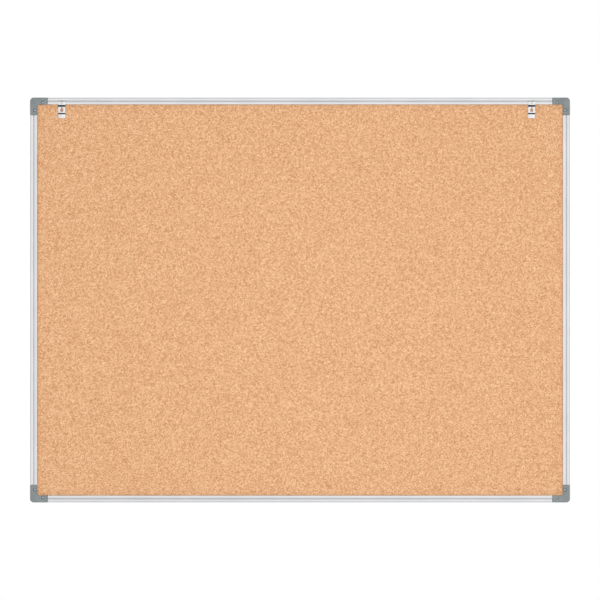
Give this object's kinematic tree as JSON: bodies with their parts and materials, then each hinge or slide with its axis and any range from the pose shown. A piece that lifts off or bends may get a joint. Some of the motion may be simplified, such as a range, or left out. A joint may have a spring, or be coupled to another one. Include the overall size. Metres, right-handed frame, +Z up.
{
  "type": "cork bulletin board",
  "caption": "Wall-hung cork pin-up board in a grooved aluminium frame with moulded corner caps and keyhole hangers that slide along the top rail.",
  "frame": {"origin": "centre of the whole board's box, midway between its faces", "axes": "+X to the right along the board's width, -Y out of the cork face towards the reader, +Z up"},
  "size_m": [1.2, 0.021, 0.9],
  "materials": {
    "anodised_aluminium": "satin",
    "grey_abs": "satin",
    "black_nylon": "matte",
    "cork": "matte",
    "softboard": "matte",
    "hardboard": "matte",
    "zinc_plated_steel": "satin",
    "bright_steel": "satin"
  },
  "bodies": {
    "board": {"rail_top": "anodised_aluminium", "rail_bottom": "anodised_aluminium", "rail_left": "anodised_aluminium", "rail_right": "anodised_aluminium", "corner_cap_top_left": "grey_abs", "corner_cap_top_right": "grey_abs", "corner_cap_bottom_left": "grey_abs", "corner_cap_bottom_right": "grey_abs", "corner_key_top_left": "black_nylon", "corner_key_top_right": "black_nylon", "corner_key_bottom_left": "black_nylon", "corner_key_bottom_right": "black_nylon", "screw_top_left_level": "zinc_plated_steel", "screw_top_left_upright": "zinc_plated_steel", "screw_top_right_level": "zinc_plated_steel", "screw_top_right_upright": "zinc_plated_steel", "screw_bottom_left_level": "zinc_plated_steel", "screw_bottom_left_upright": "zinc_plated_steel", "screw_bottom_right_level": "zinc_plated_steel", "screw_bottom_right_upright": "zinc_plated_steel", "cork_sheet": "cork", "core_board": "softboard", "backing_sheet": "hardboard"},
    "left_hanger": {"hanger_clip_left": "bright_steel"},
    "right_hanger": {"hanger_clip_right": "bright_steel"}
  },
  "joints": [
    {"name": "left_hanger_slide", "type": "slide", "parent": "board", "child": "left_hanger", "axis": [1, 0, 0], "range_m": [-0.0225, 0.52]},
    {"name": "right_hanger_slide", "type": "slide", "parent": "board", "child": "right_hanger", "axis": [1, 0, 0], "range_m": [-0.505, 0.0375]}
  ]
}
